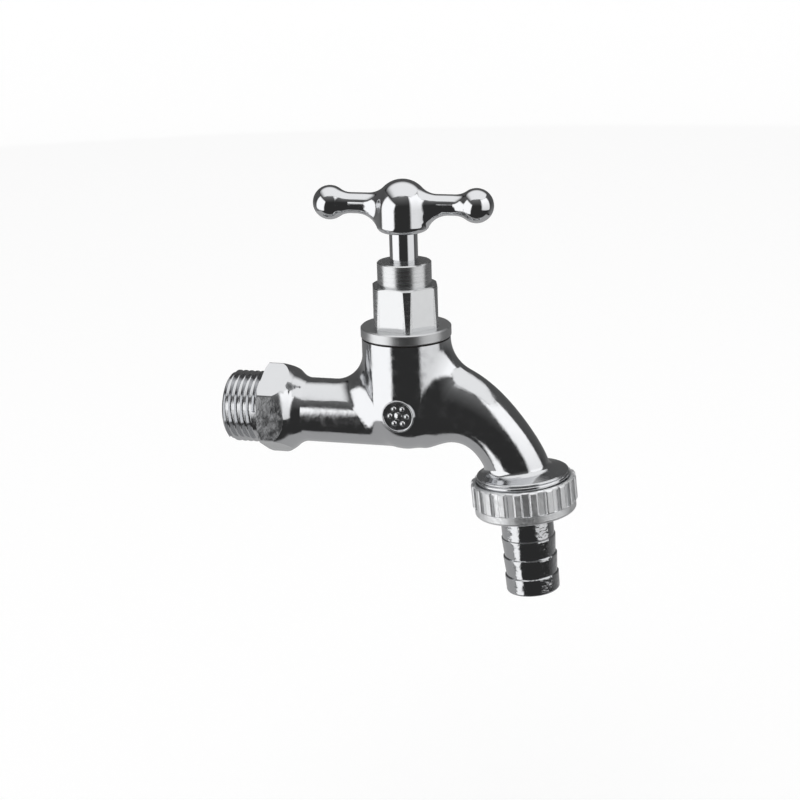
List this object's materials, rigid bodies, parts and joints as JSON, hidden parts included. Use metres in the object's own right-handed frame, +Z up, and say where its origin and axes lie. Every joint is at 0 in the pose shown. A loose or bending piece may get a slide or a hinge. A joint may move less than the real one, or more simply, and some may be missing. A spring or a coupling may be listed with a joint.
{
  "type": "garden tap",
  "caption": "Wall-mounted bib tap with a T handle, hexagonal headwork, curved spout and a ribbed union nut that holds a barbed hose tail.",
  "frame": {"origin": "on the inlet axis, at the wall side of the inlet hexagon, where the inlet thread begins", "axes": "+X along the inlet axis out of the wall towards the spout, +Z up along the spindle, +Y to the tap's own left"},
  "size_m": [0.1032, 0.0302, 0.1197],
  "materials": {
    "chrome_casting": "polished chrome plate over a slightly uneven brass casting",
    "polished_chrome": "polished chrome plate",
    "turned_chrome": "satin chrome plate over fine turning marks",
    "satin_chrome": "satin chrome plate over a cast surface",
    "plain_brass": "turned brass",
    "spring_steel": "plain steel",
    "black_rubber": "matt black rubber",
    "fibre": "dark vulcanised fibre"
  },
  "bodies": {
    "tap": {"tap_body": "chrome_casting", "bonnet_washer": "fibre", "bonnet": "turned_chrome"},
    "jumper": {"jumper": "plain_brass", "tap_washer": "black_rubber", "washer_screw": "plain_brass"},
    "spindle_and_handle": {"spindle": "polished_chrome", "spindle_o_ring_lower": "black_rubber", "spindle_o_ring_upper": "black_rubber", "jumper_clip": "spring_steel", "handle": "polished_chrome", "handle_grub_screw": "spring_steel"},
    "union_washer": {"union_washer": "black_rubber"},
    "union_nut": {"union_nut": "satin_chrome"},
    "hose_tail": {"hose_tail": "polished_chrome"}
  },
  "joints": [
    {"name": "jumper_lift", "type": "slide", "parent": "tap", "child": "jumper", "axis": [0, 0, 1], "range_m": [0, 0.005]},
    {"name": "spindle_turn", "type": "hinge", "parent": "jumper", "child": "spindle_and_handle", "pos_m": [0.0425, 0, 0.05], "axis": [0, 0, 1], "range_deg": [0, 900]},
    {"name": "union_travel", "type": "slide", "parent": "tap", "child": "union_washer", "axis": [0.0837, 0, -0.9965], "range_m": [0, 0.00726]},
    {"name": "union_nut_turn", "type": "hinge", "parent": "union_washer", "child": "union_nut", "pos_m": [0.07605, 0, -0.0164], "axis": [0.0837, 0, -0.9965], "range_deg": [0, 1440]},
    {"name": "hose_tail_swivel", "type": "hinge", "parent": "union_washer", "child": "hose_tail", "pos_m": [0.07605, 0, -0.0164], "axis": [0.0837, 0, -0.9965], "continuous": true}
  ],
  "couplings": [
    {"joint": "jumper_lift", "follows": "spindle_turn", "m_per_rad": 0.00031831},
    {"joint": "union_travel", "follows": "union_nut_turn", "m_per_rad": 0.00028871}
  ]
}
